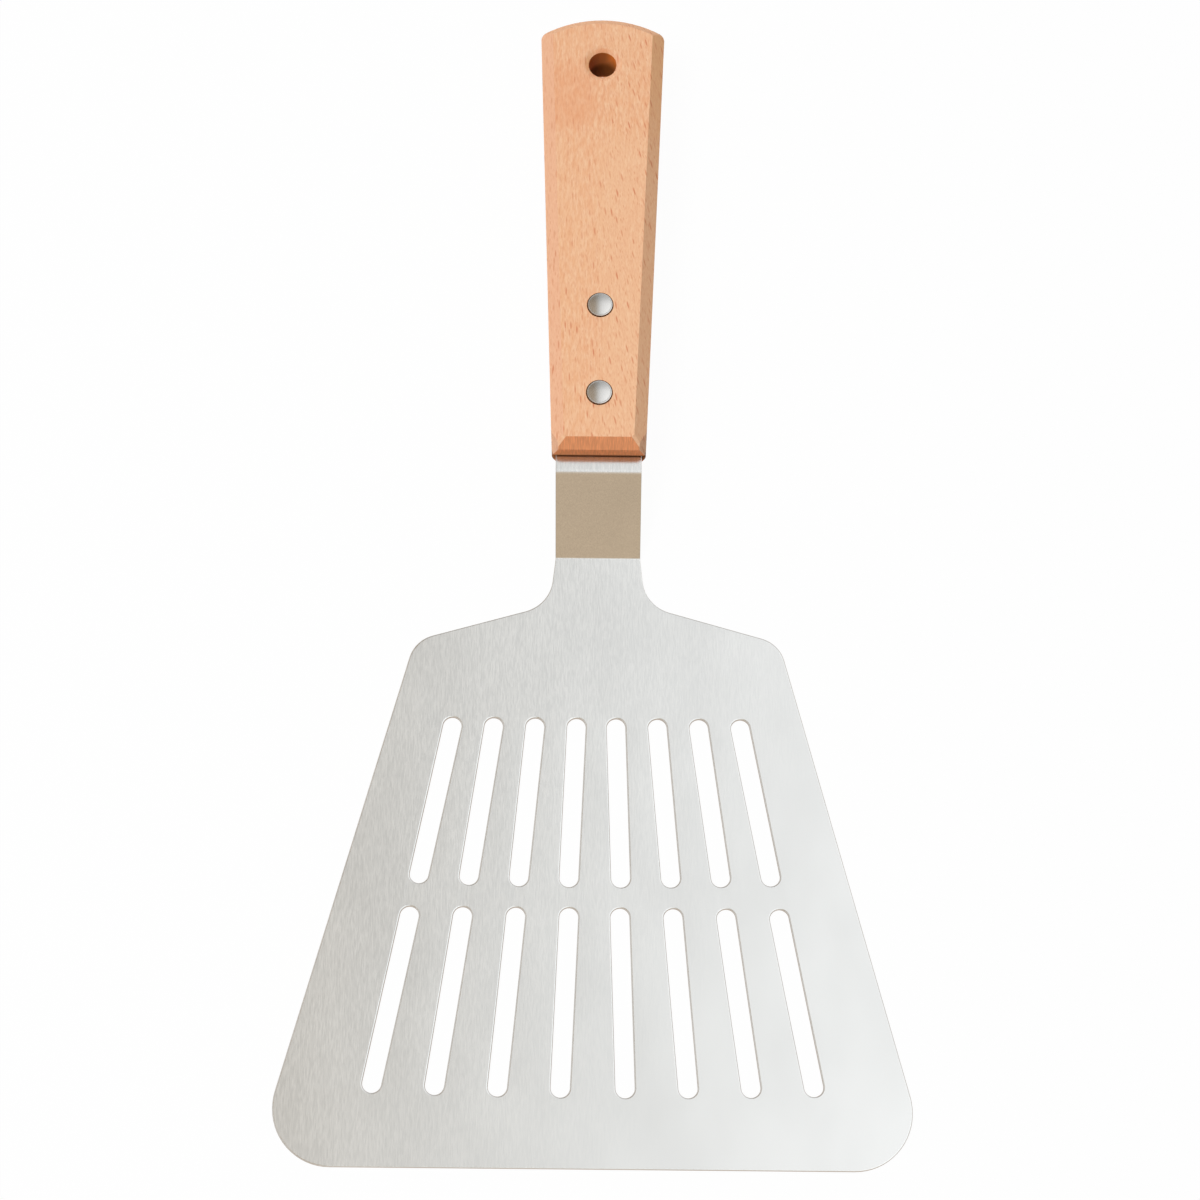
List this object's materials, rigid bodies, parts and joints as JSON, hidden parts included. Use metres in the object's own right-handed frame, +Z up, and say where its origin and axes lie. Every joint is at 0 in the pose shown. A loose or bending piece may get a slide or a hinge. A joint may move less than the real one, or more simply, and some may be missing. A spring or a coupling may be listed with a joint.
{
  "type": "kitchen turner",
  "caption": "Wide kitchen turner: a fanned, slotted stainless blade with a cranked neck, riveted into a chamfered beech handle with a hanging hole.",
  "frame": {"origin": "under the middle of the turner's length, on the surface that the blade lies on", "axes": "+Y from the blade's front edge towards the end of the handle, +Z up from the surface that the blade lies on, +X across the blade"},
  "size_m": [0.1774, 0.3424, 0.0304],
  "materials": {
    "blade_steel": "fine brushing along the blade, edges rounded over",
    "beech": "sanded pale beech with short reddish flecks, lightly oiled",
    "rivet_steel": "satin low domes"
  },
  "bodies": {
    "root": {"blade": "blade_steel", "handle": "beech", "front_rivet_solid_half": "rivet_steel", "front_rivet_tube_half": "rivet_steel", "rear_rivet_solid_half": "rivet_steel", "rear_rivet_tube_half": "rivet_steel"}
  },
  "joints": []
}
